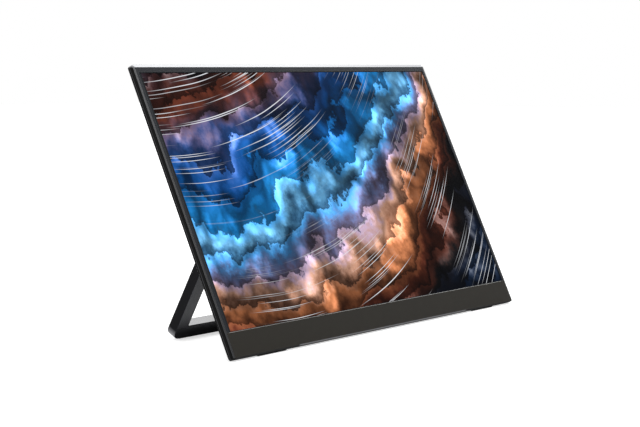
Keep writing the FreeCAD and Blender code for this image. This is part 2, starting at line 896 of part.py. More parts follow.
def make_sockets():
    usb_shells = [socket_shell(z, usb_width, usb_height, usb_depth, usb_wall, usb_height / 2)
                  for z in usb_places]
    tongues = [socket_tongue(z, usb_tongue_width, usb_tongue_height, usb_tongue_depth, usb_depth, usb_wall)
               for z in usb_places]
    tongues.append(socket_tongue(hdmi_z, hdmi_tongue_width, hdmi_tongue_height, hdmi_tongue_depth,
                                 hdmi_depth, hdmi_wall))
    front = housing_half_width - jack_nose_setback
    body = block((cavity_half - jack_body_depth, cavity_half), span(port_y, jack_body_height),
                 span(jack_z, jack_body_width))
    nose = rod(Vector(cavity_half, port_y, jack_z), along_x, jack_nose_radius, front - cavity_half)
    bore = rod(Vector(front - jack_bore_depth, port_y, jack_z), along_x, jack_bore_radius,
               jack_bore_depth + overrun)
    return {
        "usb_c_sockets": Part.makeCompound(usb_shells),
        "mini_hdmi_socket": socket_shell(hdmi_z, hdmi_width, hdmi_height, hdmi_depth, hdmi_wall,
                                         hdmi_corner),
        "socket_tongues": Part.makeCompound(tongues),
        "headphone_jack": body.fuse(nose).cut(bore),
    }


# A key cap through the left wall, with a flange behind the wall
def key_cap(z, length, flange_x):
    outer = -housing_half_width - key_proud
    cap = wall_opening(z, length, key_height, key_height / 2, (outer, flange_x[0]))
    flange = block(flange_x, span(port_y, key_height + key_flange), span(z, length + key_flange))
    return cap.fuse(flange)


def switch_face():
    return -key_board_outer - switch_clearance


def make_power_key():
    flange_outer = -cavity_half + key_rest_gap
    flange_x = (flange_outer, flange_outer + key_flange_thickness)
    stem_end = switch_face() - power_key_travel - seat_gap
    stem = block((flange_x[1], stem_end), span(port_y, key_stem), span(power_key_z, key_stem))
    return key_cap(power_key_z, power_key_length, flange_x).fuse(stem).removeSplitter()


# Volume rocker: turns on a pin that runs from the shell to the housing's skin
def make_rocker():
    flange_x = (rocker_pin_x - key_flange_thickness, rocker_pin_x)
    swing = rocker_foot_reach * math.tan(math.radians(rocker_angle))
    foot_end = switch_face() - swing - seat_gap
    feet = [block((flange_x[1], foot_end), span(port_y, key_stem), span(rocker_z + reach, key_stem))
            for reach in (-rocker_foot_reach, rocker_foot_reach)]
    hub_y = port_y - (key_height + key_flange) / 2
    hub = rod(Vector(rocker_pin_x, hub_y, rocker_z), along_y, rocker_hub_radius, key_height + key_flange)
    bore = rod(Vector(rocker_pin_x, back_y, rocker_z), along_y, rocker_pin_radius + rocker_pin_fit,
               housing_inner - back_y)
    body = key_cap(rocker_z, rocker_length, flange_x).fuse(feet + [hub]).cut(bore).removeSplitter()
    pin = rod(Vector(rocker_pin_x, back_y, rocker_z), along_y, rocker_pin_radius, housing_inner - back_y)
    return {"volume_rocker": body, "rocker_pin": pin}


def make_key_parts():
    face = switch_face()
    x = (face, face + switch_depth)
    y = (board_back, board_back + switch_height)
    places = (power_key_z, rocker_z - rocker_foot_reach, rocker_z + rocker_foot_reach)
    switches = [block(x, y, span(z, switch_width)) for z in places]
    pipe = rod(Vector(-housing_half_width, port_y, light_z), along_x, light_radius, light_length)
    diode_x = (-key_board_outer, -key_board_outer + diode_block)
    diode = block(diode_x, (board_back, port_y), span(light_z, diode_block))
    return {
        "key_switches": Part.makeCompound(switches),
        "status_light_pipe": pipe,
        "status_diode": diode,
    }


# Speaker box with a hollow in its back, the cone in it, and a gasket and mesh towards the grille
def make_speakers():
    x = (speaker_inner, speaker_outer)
    z = (speaker_bottom, speaker_top)
    inner_x = (x[0] + cone_inset, x[1] - cone_inset)
    inner_z = (z[0] + cone_inset, z[1] - cone_inset)
    hollow_y = (speaker_back - cone_inset / 2, speaker_back + overrun)
    hollow = rounded_block(inner_x, hollow_y, inner_z, cone_inset, along_y)
    box = block(x, (speaker_y, speaker_back), z).cut(hollow)
    cone = rounded_block(inner_x, (hollow_y[0], hollow_y[0] + cone_depth), inner_z, cone_inset, along_y)
    gasket_y = (speaker_back, mesh_y)
    gasket = block(x, gasket_y, z).cut(block((x[0] + gasket_width, x[1] - gasket_width), gasket_y,
                                             (z[0] + gasket_width, z[1] - gasket_width)))
    mesh = block(x, (mesh_y, housing_inner), z)
    leads = []
    for index in range(2):
        lead_z = main_board_bottom + lead_rise + index * lead_spacing
        start = Vector(main_board_half - lead_reach, board_back + lead_radius, lead_z)
        leads.append(rod(start, along_x, lead_radius, speaker_inner - start.x))
    both = [lead for single in leads for lead in (single, mirrored(single))]
    return {
        "speaker_boxes": Part.makeCompound([box, mirrored(box)]),
        "speaker_cones": Part.makeCompound([cone, mirrored(cone)]),
        "speaker_gaskets": Part.makeCompound([gasket, mirrored(gasket)]),
        "speaker_mesh": Part.makeCompound([mesh, mirrored(mesh)]),
        "speaker_leads": Part.makeCompound(both),
    }


def bracket_screw_places():
    plate_x = (barrel_outer - bracket_width, barrel_outer)
    low = plate_bottom + standoff_radius
    high = plate_top - standoff_radius
    return [(plate_x[0] + standoff_radius, low), (plate_x[1] - standoff_radius, low),
            (plate_x[0] + standoff_radius, high)]


# Hinge bracket: a barrel around the shaft, with a neck down to a screwed plate
def make_bracket():
    barrel = rod(Vector(barrel_inner, stand_middle, hinge_z), along_x, barrel_radius, barrel_length)
    y = (plate_y, plate_y + bracket_thickness)
    neck = block((barrel_inner, barrel_outer), y, (plate_top, hinge_z))
    plate = block((barrel_outer - bracket_width, barrel_outer), y, (plate_bottom, plate_top))
    bore = rod(Vector(barrel_inner, stand_middle, hinge_z), along_x, shaft_radius + shaft_fit, barrel_length)
    holes = [rod(Vector(x, plate_y - overrun, z), along_y, screw_radius + screw_hole_gap,
                 bracket_thickness + 2 * overrun) for x, z in bracket_screw_places()]
    return barrel.fuse([neck, plate]).cut([bore] + holes).removeSplitter()


def make_hinge_fixings():
    standoffs = []
    screws = []
    for x, z in both_sides(bracket_screw_places()):
        standoffs.append(tube(Vector(x, back_y, z), along_y, standoff_radius, standoff_bore,
                              plate_y - back_y))
        length = plate_y + bracket_thickness - back_y - screw_tip_gap
        screws.append(plain_screw(Vector(x, plate_y + bracket_thickness, z), -along_y, length))
    return {"hinge_standoffs": Part.makeCompound(standoffs), "hinge_screws": Part.makeCompound(screws)}


# Stand: a U in the plane of the back, whose leg ends are round about the hinge axis
def make_stand_frame():
    radius = stand_thickness / 2
    top = hinge_z + radius
    y = (stand_front, stand_back)
    plate = block((-stand_half, stand_half), y, (stand_end, top + overrun))
    lower = [edge for edge in plate.Edges
             if abs(edge.BoundBox.ZMax - stand_end) < edge_tolerance and edge.BoundBox.XLength < edge_tolerance]
    plate = plate.makeFillet(stand_corner, lower)
    opening = rounded_block((-stand_inner, stand_inner), (y[0] - overrun, y[1] + overrun),
                            (bar_top, top + stand_length), stand_inner_corner, along_y)
    side = block((-stand_half, stand_half), y, (stand_end, hinge_z))
    side = side.fuse(rod(Vector(-stand_half, stand_middle, hinge_z), along_x, radius, 2 * stand_half))
    body = plate.cut(opening).common(side).removeSplitter()
    rim = []
    for edge in body.Edges:
        box = edge.BoundBox
        across = box.YLength > edge_tolerance and box.ZLength < edge_tolerance
        level = box.XLength > edge_tolerance and abs(box.ZMin - hinge_z) < edge_tolerance
        if not (across or level):
            rim.append(edge)
    body = body.makeFillet(stand_edge, rim)
    bore = rod(Vector(stand_inner - overrun, stand_middle, hinge_z), along_x,
               shaft_radius + shaft_seat_fit, stand_leg_width - shaft_cover + overrun)
    screw_hole = rod(Vector((stand_half + stand_inner) / 2, stand_front - overrun, hinge_z), along_y,
                     set_screw_radius + shaft_seat_fit, stand_thickness / 2 + overrun)
    cuts = [pad_seat_block(), bore, screw_hole, mirrored(bore), mirrored(screw_hole)]
    groove = block(span(0, groove_width), (stand_front - overrun, stand_front + groove_depth),
                   (bar_top - groove_depth, bar_top + overrun))
    return body.cut(cuts + [groove]).removeSplitter()


def pad_middle_y():
    return stand_middle - pad_offset


def pad_x():
    return (-stand_half + pad_end_inset, stand_half - pad_end_inset)


def pad_seat_block():
    x = (pad_x()[0] - seat_gap, pad_x()[1] + seat_gap)
    return block(x, span(pad_middle_y(), 2 * (pad_radius + seat_gap)),
                 (stand_end - overrun, stand_end + pad_seat))


# Rubber pad: set in a groove of the bar's end, with a round nose that meets the table
def make_stand_pad():
    middle_z = stand_end + pad_sink
    x = pad_x()
    nose = rod(Vector(x[0], pad_middle_y(), middle_z), along_x, pad_radius, x[1] - x[0])
    depth = span(pad_middle_y(), 2 * pad_radius)
    base = block(x, depth, (middle_z, stand_end + pad_seat))
    lower = block(x, depth, (middle_z - pad_radius, middle_z))
    return nose.common(lower).fuse(base).removeSplitter()


# Hinge shaft fixed in the leg, with friction discs and a lock nut past the bracket's barrel
def make_shaft_parts():
    stack_outer = barrel_inner - disc_gap
    stack_inner = stack_outer - disc_count * disc_thickness
    nut_inner = stack_inner - nut_length
    outer_end = stand_half - shaft_cover
    start = Vector(nut_inner - shaft_tail, stand_middle, hinge_z)
    shaft = rod(start, along_x, shaft_radius, outer_end - start.x)
    bore = shaft_radius + shaft_seat_fit
    discs = [tube(Vector(stack_inner + index * disc_thickness, stand_middle, hinge_z), along_x,
                  barrel_radius, bore, disc_thickness) for index in range(disc_count)]
    corners = [math.radians(60 * index) for index in range(6)]
    outline = [(stand_middle + nut_radius * math.cos(turn), hinge_z + nut_radius * math.sin(turn))
               for turn in corners]
    nut = bar_along_x(outline, (nut_inner, stack_inner)).cut(rod(start, along_x, bore, outer_end - start.x))
    screw_x = (stand_half + stand_inner) / 2
    depth = stand_middle - shaft_radius - stand_front
    set_screw = rod(Vector(screw_x, stand_front, hinge_z), along_y, set_screw_radius, depth)
    return {
        "right_hinge_shaft": shaft,
        "left_hinge_shaft": mirrored(shaft),
        "friction_discs": Part.makeCompound(discs + [mirrored(disc) for disc in discs]),
        "lock_nuts": Part.makeCompound([nut, mirrored(nut)]),
        "shaft_set_screws": Part.makeCompound([set_screw, mirrored(set_screw)]),
    }


# Height of a point of the case frame once the case is leaned back about X
def leaned_height(y, z):
    lean = math.radians(case_lean)
    return z * math.cos(lean) - y * math.sin(lean)


# Angle from vertical at which the stand's pad meets the table that the feet stand on
def stand_lean():
    foot_middle = case_bottom + foot_seat - seat_gap
    table = leaned_height(foot_setback, foot_middle) - foot_radius
    height = leaned_height(stand_middle, hinge_z) - table - pad_radius
    length = stand_length - pad_sink
    reach = math.hypot(length, pad_offset)
    return math.degrees(math.atan2(pad_offset, length) + math.acos(height / reach))


case_nodes = {
    "bezel_frame": make_bezel_frame(),
    "chin_cover": make_chin_cover(),
    "panel_tape": make_panel_tape(),
    "rear_shell": make_rear_shell(),
    "case_feet": Part.makeCompound([make_foot(), mirrored(make_foot())]),
    "rear_housing": make_rear_housing(),
    "right_hinge_bracket": make_bracket(),
    "left_hinge_bracket": mirrored(make_bracket()),
}
for group in (make_display(), make_light_strip(), make_driver_board(), make_housing_fixings(), make_boards(),
              make_board_parts(), make_ribbons(), make_sockets(), make_key_parts(), make_speakers(),
              make_hinge_fixings()):
    case_nodes.update(group)
rocker = make_rocker()
case_nodes["rocker_pin"] = rocker["rocker_pin"]
key_nodes = {"power_button": make_power_key(), "volume_rocker": rocker["volume_rocker"]}
stand_nodes = {"stand_frame": make_stand_frame(), "stand_pad": make_stand_pad()}
stand_nodes.update(make_shaft_parts())

# Open the stand about its hinge, lean everything back, and set it on the table
opening = case_lean + stand_lean()
hinge_point = Vector(0, stand_middle, hinge_z)
open_stand = FreeCAD.Placement(Vector(0, 0, 0), FreeCAD.Rotation(along_x, opening), hinge_point)
lean_back = FreeCAD.Placement(Vector(0, 0, 0), FreeCAD.Rotation(along_x, -case_lean))
placed = {}
for name, shape in {**case_nodes, **key_nodes}.items():
    placed[name] = shape.transformed(lean_back.toMatrix())
for name, shape in stand_nodes.items():
    placed[name] = shape.transformed(lean_back.multiply(open_stand).toMatrix())

bounds = Part.makeCompound(list(placed.values())).optimalBoundingBox(False, False)
shift = Vector(-bounds.Center.x, -bounds.Center.y, -bounds.ZMin)
os.makedirs("parts", exist_ok=True)
for name, shape in placed.items():
    shape.translated(shift).exportStep(os.path.join("parts", name + ".step"))


# Where a point or direction of the case frame comes to lie, in metres and as a unit direction
def in_metres(point):
    moved = lean_back.multVec(point) + shift
    return [round(value / 1000, 6) for value in moved]


def turned(direction):
    return [round(value, 6) for value in lean_back.Rotation.multVec(direction)]


jack_middle = housing_half_width - jack_nose_setback - jack_bore_depth / 2
places = {
    "hinge": hinge_point,
    "rocker pin": Vector(rocker_pin_x, port_y, rocker_z),
    "headphone bore": Vector(jack_middle, port_y, jack_z),
    "back face": Vector(0, housing_back, (island_bottom + housing_top) / 2),
    "first port": Vector(housing_half_width - socket_setback, port_y, usb_places[0]),
    "mini port": Vector(housing_half_width - socket_setback, port_y, hdmi_z),
}
print("nodes", len(placed), "size", [round(v, 2) for v in (bounds.XLength, bounds.YLength, bounds.ZLength)])
print("stand opened by", round(opening, 3), "of", widest_angle)
for name, point in places.items():
    print(name, in_metres(point))
print("back faces", turned(along_y))
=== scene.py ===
import json
import math
import bpy
import numpy as np
from mathutils import Matrix, Quaternion, Vector


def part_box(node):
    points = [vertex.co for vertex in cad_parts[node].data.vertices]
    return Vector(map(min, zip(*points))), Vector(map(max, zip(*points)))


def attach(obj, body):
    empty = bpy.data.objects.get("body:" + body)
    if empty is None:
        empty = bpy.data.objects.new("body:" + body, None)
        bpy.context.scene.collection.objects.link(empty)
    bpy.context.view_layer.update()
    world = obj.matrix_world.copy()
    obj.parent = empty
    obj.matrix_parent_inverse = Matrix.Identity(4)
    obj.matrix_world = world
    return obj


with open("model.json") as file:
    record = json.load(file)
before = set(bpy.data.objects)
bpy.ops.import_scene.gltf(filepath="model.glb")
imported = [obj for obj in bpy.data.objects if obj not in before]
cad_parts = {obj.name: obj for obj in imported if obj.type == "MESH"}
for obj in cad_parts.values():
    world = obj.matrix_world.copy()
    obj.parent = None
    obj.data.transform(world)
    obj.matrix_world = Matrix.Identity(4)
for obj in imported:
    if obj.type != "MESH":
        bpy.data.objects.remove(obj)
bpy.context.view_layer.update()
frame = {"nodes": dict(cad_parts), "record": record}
nodes = frame["nodes"]
mm = 0.001
print("frame loaded:", len(nodes), "nodes")

# The case's own upright frame in millimetres: X right, Y from the front face to the back, Z up along the
# case, with zero at the middle of the picture. The object stands with its case leaning back from that.
case = {"lean": math.radians(25.3), "halfWidth": 177.3, "top": 103.5, "bottom": -116.0, "pictureWidth": 344.2,
        "pictureHeight": 193.6, "seam": 2.9, "seamHalf": 0.2, "sharp": 0.04}
screenMiddle = Vector((0, 0.575, -0.55))  # middle of the front polariser
leanTurn = Matrix.Rotation(-case["lean"], 3, "X")
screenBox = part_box("front_polarizer")  # tells where the case stands
caseOrigin = (Vector(screenBox[0]) + Vector(screenBox[1])) / 2 - leanTurn @ screenMiddle * mm


# Points of the case's frame leaned back into the object's frame, in metres
def leanedPoints(points):
    return points * mm @ np.array(leanTurn.transposed()) + np.array(caseOrigin)


# One linear colour for one sRGB hex value, by the sRGB curve
def linear(hexColour):
    parts = [int(hexColour[i:i + 2], 16) / 255 for i in (1, 3, 5)]
    return tuple(c / 12.92 if c <= 0.04045 else ((c + 0.055) / 1.055) ** 2.4 for c in parts) + (1.0,)


# Adds one node. Inputs are listed in the order that Blender shows, or by name, and each is a plain value or
# the node or output that it is linked to. Stops are a colour ramp's: a place with a hex colour or a grey.
def add(tree, kind, inputs=(), stops=(), **settings):
    node = tree.nodes.new("ShaderNode" + kind)
    for name, value in settings.items():
        setattr(node, name, value)
    if isinstance(inputs, dict):
        sockets = [node.inputs[name] for name in inputs]
        inputs = inputs.values()
    else:
        sockets = [socket for socket in node.inputs if socket.enabled]
    for socket, value in zip(sockets, inputs):
        if isinstance(value, bpy.types.Node):
            value = next(output for output in value.outputs if output.enabled)
        if isinstance(value, bpy.types.NodeSocket):
            tree.links.new(value, socket)
        else:
            socket.default_value = value
    for index, (place, shade) in enumerate(stops):
        elements = node.color_ramp.elements
        element = elements[index] if index < 2 else elements.new(place)  # a new ramp has two stops
        element.position = place
        element.color = linear(shade) if isinstance(shade, str) else (shade, shade, shade, 1)
    return node


# The node tree of a material or a world, without its first nodes
def emptyTree(owner):
    owner.use_nodes = True
    owner.node_tree.nodes.clear()
    return owner.node_tree


# Ends a material's tree with one surface
def surfaced(tree, inputs):
    add(tree, "OutputMaterial", {"Surface": add(tree, "BsdfPrincipled", inputs)})


# Object coordinates turned back upright and counted in millimetres of the case's frame
def casePlace(tree):
    shift = leanTurn.transposed() @ caseOrigin / mm
    return add(tree, "Mapping", {"Vector": add(tree, "TexCoord").outputs["Object"], "Location": -shift,
                                 "Rotation": (case["lean"], 0, 0), "Scale": (1 / mm, 1 / mm, 1 / mm)})


# All values multiplied, which for masks is the place where all of them hold
def product(tree, *values):
    whole = values[0]
    for value in values[1:]:
        whole = add(tree, "Math", [whole, value], operation="MULTIPLY")
    return whole


# One where a value is above a limit, with a step as wide as soft
def above(tree, value, limit, soft=case["sharp"]):
    return add(tree, "MapRange", [value, limit - soft / 2, limit + soft / 2])


def below(tree, value, limit, soft=case["sharp"]):
    return add(tree, "Math", [1.0, above(tree, value, limit, soft)], operation="SUBTRACT")


# Distance from the middle to either side
def aside(tree, x):
    return add(tree, "Math", [x], operation="ABSOLUTE")


# What a finish has where its own dictionary says nothing else
plainFinish = {"grainDetail": 3.0, "cloudDetail": 4.0, "cloudLow": 0.3, "cloudHigh": 0.7, "depthShare": 0.2,
               "specular": 0.5, "metal": 0.0, "zones": ()}


# A finish with two noises, both sized in millimetres: grain for the bump, and cloud, a broad mottling, for
# colour and roughness. Most grains are drawn coarser than real ones, which are too fine to show. Each zone
# lays another colour, roughness and metal over a part of the piece.
def grained(look):
    look = {**plainFinish, **look}
    material = bpy.data.materials.new(look["name"])
    tree = emptyTree(material)
    place = add(tree, "TexCoord").outputs["Object"]
    grain = add(tree, "TexNoise", {"Vector": place, "Scale": 1 / (look["grain"] * mm),
                                   "Detail": look["grainDetail"]})
    cloud = add(tree, "TexNoise", {"Vector": place, "Scale": 1 / (look["cloud"] * mm),
                                   "Detail": look["cloudDetail"]})
    bump = add(tree, "Bump", {"Height": grain, "Strength": look["bump"],
                              "Distance": look["grain"] * mm * look["depthShare"]})
    colour = add(tree, "Mix", [cloud, linear(look["colour"]), linear(look["second"])], data_type="RGBA")
    rough = add(tree, "MapRange", [cloud, look["cloudLow"], look["cloudHigh"], *look["rough"]])
    metal = look["metal"]
    if look["zones"]:
        x, y, z = add(tree, "SeparateXYZ", [casePlace(tree)]).outputs
        for zone in look["zones"]:
            mask = zone["mask"](tree, x, y, z)
            colour = add(tree, "Mix", [mask, colour, linear(zone["colour"])], data_type="RGBA")
            rough = add(tree, "Mix", [mask, rough, zone["rough"]])
            metal = add(tree, "Mix", [mask, metal, zone["metal"]])
    surfaced(tree, {"Base Color": colour, "Roughness": rough, "Metallic": metal, "Normal": bump,
                    "Specular IOR Level": look["specular"]})
    return material


# The bevel round the bezel frame: its size, the part of it that shines, and the painted shade that
# darkens it towards the bottom of the sides and the right of the top
bevel = {"wide": 2.3, "deep": 0.8, "brightShare": 0.55, "soft": 0.2, "frontSkin": 0.03, "backSkin": 0.02,
         "shadeAtTop": 0.2, "shadeAtBottom": 0.8, "shadeFrom": 10.0, "cornerWide": 1.7, "cornerHigh": 1.4,
         "cornerSoft": 0.8}


def onSideBevel(tree, x, y):
    return product(tree, above(tree, aside(tree, x), case["halfWidth"] - bevel["wide"]),
                   above(tree, y, bevel["frontSkin"]),
                   below(tree, y, bevel["deep"] * bevel["brightShare"], bevel["soft"]))


def onTopBevel(tree, y, z):
    return product(tree, above(tree, z, case["top"] - bevel["wide"]),
                   above(tree, y, bevel["frontSkin"]),
                   below(tree, y, bevel["deep"] - bevel["backSkin"]))


def bevelZone(tree, x, y, z):
    return add(tree, "Math", [onSideBevel(tree, x, y), onTopBevel(tree, y, z)], operation="MAXIMUM")


# Painted shade: the side bevels darker towards the bottom
def shadedSideBevelZone(tree, x, y, z):
    bevelShade = add(tree, "MapRange", [z, case["bottom"], case["top"], bevel["shadeAtBottom"], bevel["shadeAtTop"]])
    return product(tree, onSideBevel(tree, x, y), bevelShade)


# Painted shade: the top bevel darker towards the right
def shadedTopBevelZone(tree, x, y, z):
    bevelShade = add(tree, "MapRange", [x, bevel["shadeFrom"], case["halfWidth"]])
    return product(tree, onTopBevel(tree, y, z), bevelShade)


# Painted highlight on the two upper corners, where the bright line of the top runs round to the sides
def cornerHighlightZone(tree, x, y, z):
    across = above(tree, aside(tree, x), case["halfWidth"] - bevel["cornerWide"], bevel["cornerSoft"])
    return product(tree, across, above(tree, z, case["top"] - bevel["cornerHigh"], bevel["cornerSoft"]))


# The sides from the outer part of the bevel backwards; the top keeps the bezel's own colour behind its
# bevel
def sideZone(tree, x, y, z):
    return product(tree, above(tree, y, bevel["deep"] * bevel["brightShare"], bevel["soft"]),
                   above(tree, aside(tree, x), case["halfWidth"] - bevel["wide"]))


# A painted highlight line where the shell meets the bezel frame
def seamHighlightZone(tree, x, y, z):
    return product(tree, above(tree, y, case["seam"] - case["seamHalf"]),
                   below(tree, y, case["seam"] + case["seamHalf"]))


# The chin cover: its polished upper chamfer, and its lower edge, darkened by painted shade and lightened
# between the feet by a painted reflection of the floor
chin = {"top": -97.3, "chamfer": 0.4, "foot": -115.2, "footGap": 106.0, "footSoft": 2.0}


def chinEdgeZone(tree, x, y, z):
    return product(tree, above(tree, z, chin["top"] - chin["chamfer"]), above(tree, y, bevel["frontSkin"]))


# Painted shade: the lower edge below the line of the feet, darker
def shadedUndersideZone(tree, x, y, z):
    return below(tree, z, chin["foot"])


# Painted reflection: a lighter strip of the lower edge between the feet, standing in for the floor seen in it
def floorReflectionZone(tree, x, y, z):
    return product(tree, below(tree, z, chin["foot"]),
                   below(tree, aside(tree, x), chin["footGap"], chin["footSoft"]))


sideFinish = {"mask": sideZone, "colour": "#1B1B1B", "rough": 0.45, "metal": 1.0}
# Painted highlight: a lighter metallic line along the seam
seamHighlightFinish = {"mask": seamHighlightZone, "colour": "#47474A", "rough": 0.35, "metal": 0.9}
# Painted shade: a dark underside
shadedUndersideFinish = {"mask": shadedUndersideZone, "colour": "#0E0E0E", "rough": 0.6, "metal": 0.0}

# Moulded bezel: dark grey plastic with a fine spark-eroded grain, which gives a soft cool sheen. Its bevel is
# smooth and metallised, which draws a thin bright line along the top and a fainter one down the sides.
# Painted shade darkens the bevel towards the bottom of the sides and the right of the top, a painted
# highlight lightens the two upper corners, a painted highlight line runs along the seam, and painted shade
# darkens the underside.
bezelLook = {"name": "spark_eroded_plastic_bezel", "colour": "#191D23", "second": "#16191F",
             "grain": 0.25, "cloud": 9, "rough": (0.42, 0.5), "bump": 0.25, "specular": 0.24,
             "zones": [sideFinish,
                       {"mask": bevelZone, "colour": "#8C8D8F", "rough": 0.2, "metal": 0.85},
                       {"mask": shadedTopBevelZone, "colour": "#67686B", "rough": 0.2, "metal": 0.85},
                       {"mask": shadedSideBevelZone, "colour": "#484849", "rough": 0.2, "metal": 0.85},
                       shadedUndersideFinish,
                       seamHighlightFinish,
                       {"mask": cornerHighlightZone, "colour": "#9C9C9E", "rough": 0.35, "metal": 1.0}]}

# Lacquered chin: warm, nearly black brown-grey lacquer with a flat satin and a metal upper edge; painted
# shade darkens its lower edge, and a painted reflection of the floor lightens it between the feet
chinLook = {"name": "satin_lacquered_plastic_chin", "colour": "#221F18", "second": "#1E1B15",
            "grain": 0.2, "cloud": 14, "rough": (0.46, 0.54), "bump": 0.12, "specular": 0.26,
            "zones": [{"mask": chinEdgeZone, "colour": "#8A8A88", "rough": 0.3, "metal": 0.8},
                      shadedUndersideFinish,
                      {"mask": floorReflectionZone, "colour": "#6E6E70", "rough": 0.4, "metal": 0.2}]}

# Rear shell: stamped aluminium, dyed nearly black, dull with a slight metallic edge and a painted highlight
# line along the seam
shellLook = {"name": "black_anodised_aluminium_shell", "colour": "#191919", "second": "#181818",
             "grain": 0.12, "cloud": 60, "rough": (0.435, 0.45), "bump": 0.12, "specular": 0.35,
             "zones": [sideFinish, seamHighlightFinish]}

# Rear housing: black plastic with a coarser grain, which breaks the reflections up
housingLook = {"name": "spark_eroded_plastic_housing", "colour": "#1B1B1C", "second": "#1A1A1B",
               "grain": 0.45, "cloud": 50, "rough": (0.515, 0.535), "bump": 0.4, "specular": 0.4}

# The open stand: where its hinge lies in the case's frame, its opening angle, and its places for other
# finishes, counted down the leg from the hinge axis
stand = {"halfWidth": 137.3, "hingeY": 9.4, "hingeZ": -16.1, "open": math.radians(54.13), "halfThick": 4.1,
         "skin": 0.1, "fadeFrom": 76.0, "fadeTo": 94.0, "darkest": 0.85, "bendAlong": 93.3,
         "bendAcross": 133.0, "bendSoft": 5.0, "bendSkin": 0.2}


# Along = distance from the hinge axis down the leg, and front = distance ahead of the stand's mid plane
def onStand(tree, y, z):
    point = add(tree, "CombineXYZ", [0.0, y, z])
    arm = add(tree, "VectorMath", [point, (0, stand["hingeY"], stand["hingeZ"])], operation="SUBTRACT")
    sine, cosine = math.sin(stand["open"]), math.cos(stand["open"])
    along = add(tree, "VectorMath", [arm, (0, sine, -cosine)], operation="DOT_PRODUCT")
    front = add(tree, "VectorMath", [arm, (0, -cosine, -sine)], operation="DOT_PRODUCT")
    return along, front


# The outer flanks of the legs
def flankZone(tree, x, y, z):
    return above(tree, aside(tree, x), stand["halfWidth"] - stand["skin"])


# The front face, with painted shade that darkens it towards the bar
def shadedStandFrontZone(tree, x, y, z):
    along, front = onStand(tree, y, z)
    fade = add(tree, "MapRange", [along, stand["fadeFrom"], stand["fadeTo"], 0.0, stand["darkest"]])
    return product(tree, fade, above(tree, front, stand["halfThick"] - stand["skin"]))


# Painted highlight on the bend between leg and bar, behind the front face
def bendHighlightZone(tree, x, y, z):
    along, front = onStand(tree, y, z)
    return product(tree, above(tree, along, stand["bendAlong"], stand["bendSoft"]),
                   above(tree, aside(tree, x), stand["bendAcross"], stand["bendSoft"]),
                   below(tree, front, stand["halfThick"] - stand["bendSkin"], stand["bendSkin"]))


# Stand: bead-blasted aluminium under a black dye; the clear oxide over it is more mirror-like at a low
# angle. Painted shade darkens the front towards the bar, and a painted highlight lightens the bend.
standLook = {"name": "bead_blasted_anodised_aluminium", "colour": "#23252F", "second": "#20222C",
             "grain": 0.15, "cloud": 30, "rough": (0.2, 0.26), "bump": 0.12, "specular": 1.0,
             "zones": [{"mask": flankZone, "colour": "#1B1B1D", "rough": 0.35, "metal": 1.0},
                       {"mask": shadedStandFrontZone, "colour": "#101016", "rough": 0.3, "metal": 1.0},
                       {"mask": bendHighlightZone, "colour": "#96969A", "rough": 0.4, "metal": 0.9}]}

# Feet and pad: moulded rubber, dull black with a dusty bloom
rubberLook = {"name": "moulded_black_rubber", "colour": "#161616", "second": "#202020",
              "grain": 0.3, "cloud": 4, "rough": (0.75, 0.9), "bump": 0.35, "specular": 0.25}

# Keys: the housing's plastic with a finer grain, polished a little by fingers
keyLook = {"name": "fine_grain_plastic_key", "colour": "#242426", "second": "#1F1F21",
           "grain": 0.2, "cloud": 5, "rough": (0.36, 0.44), "bump": 0.2}

# Metals: nickel is bright and slightly yellow, zinc greyer with broad drawing marks, black oxide nearly black
# with a dull shine, and turned brass warm with fine marks
nickelLook = {"name": "nickel_plated_steel", "colour": "#C9C5BC", "second": "#BDB9B1",
              "grain": 0.1, "cloud": 3, "rough": (0.22, 0.32), "bump": 0.12, "metal": 1.0}
zincLook = {"name": "zinc_plated_sheet_steel", "colour": "#AEB2B8", "second": "#9FA3AA",
            "grain": 0.4, "cloud": 5, "rough": (0.34, 0.46), "bump": 0.2, "metal": 1.0}
blackSteelLook = {"name": "black_oxide_steel", "colour": "#26262A", "second": "#1E1E22",
                  "grain": 0.1, "cloud": 3, "rough": (0.3, 0.4), "bump": 0.15, "metal": 0.9}
brassLook = {"name": "turned_brass", "colour": "#C9A25A", "second": "#B98F4B",
             "grain": 0.1, "cloud": 2, "rough": (0.25, 0.35), "bump": 0.12, "metal": 1.0}

# Black plastic of chips, frames and speakers: a soft moulded sheen
blackPlasticLook = {"name": "moulded_black_plastic", "colour": "#121213", "second": "#181819",
                    "grain": 0.3, "cloud": 6, "rough": (0.45, 0.55), "bump": 0.2}
# Cable connectors: matt nylon, slightly yellow
connectorLook = {"name": "moulded_ivory_nylon", "colour": "#D6D0BF", "second": "#CBC4B2",
                 "grain": 0.3, "cloud": 4, "rough": (0.45, 0.55), "bump": 0.15}
# Circuit boards: glossy green mask over a faint weave
boardLook = {"name": "solder_masked_glass_laminate", "colour": "#0F3D24", "second": "#0C3520",
             "grain": 0.5, "cloud": 3, "rough": (0.3, 0.4), "bump": 0.2}
# Ribbons: thin film that shines like amber
flexLook = {"name": "amber_polyimide_film", "colour": "#7A4E1C", "second": "#6C4214",
            "grain": 0.4, "cloud": 4, "rough": (0.28, 0.36), "bump": 0.1}
# Reflector and diffuser: paper white and dull
whiteFilmLook = {"name": "white_polyester_film", "colour": "#E6E6E4", "second": "#DCDCDA",
                 "grain": 0.3, "cloud": 8, "rough": (0.5, 0.6), "bump": 0.1}
# Prism film and acrylic: pale grey with a smooth shine
clearFilmLook = {"name": "clear_embossed_film", "colour": "#D5D8DA", "second": "#C9CDD0",
                 "grain": 0.1, "cloud": 8, "rough": (0.12, 0.2), "bump": 0.1}
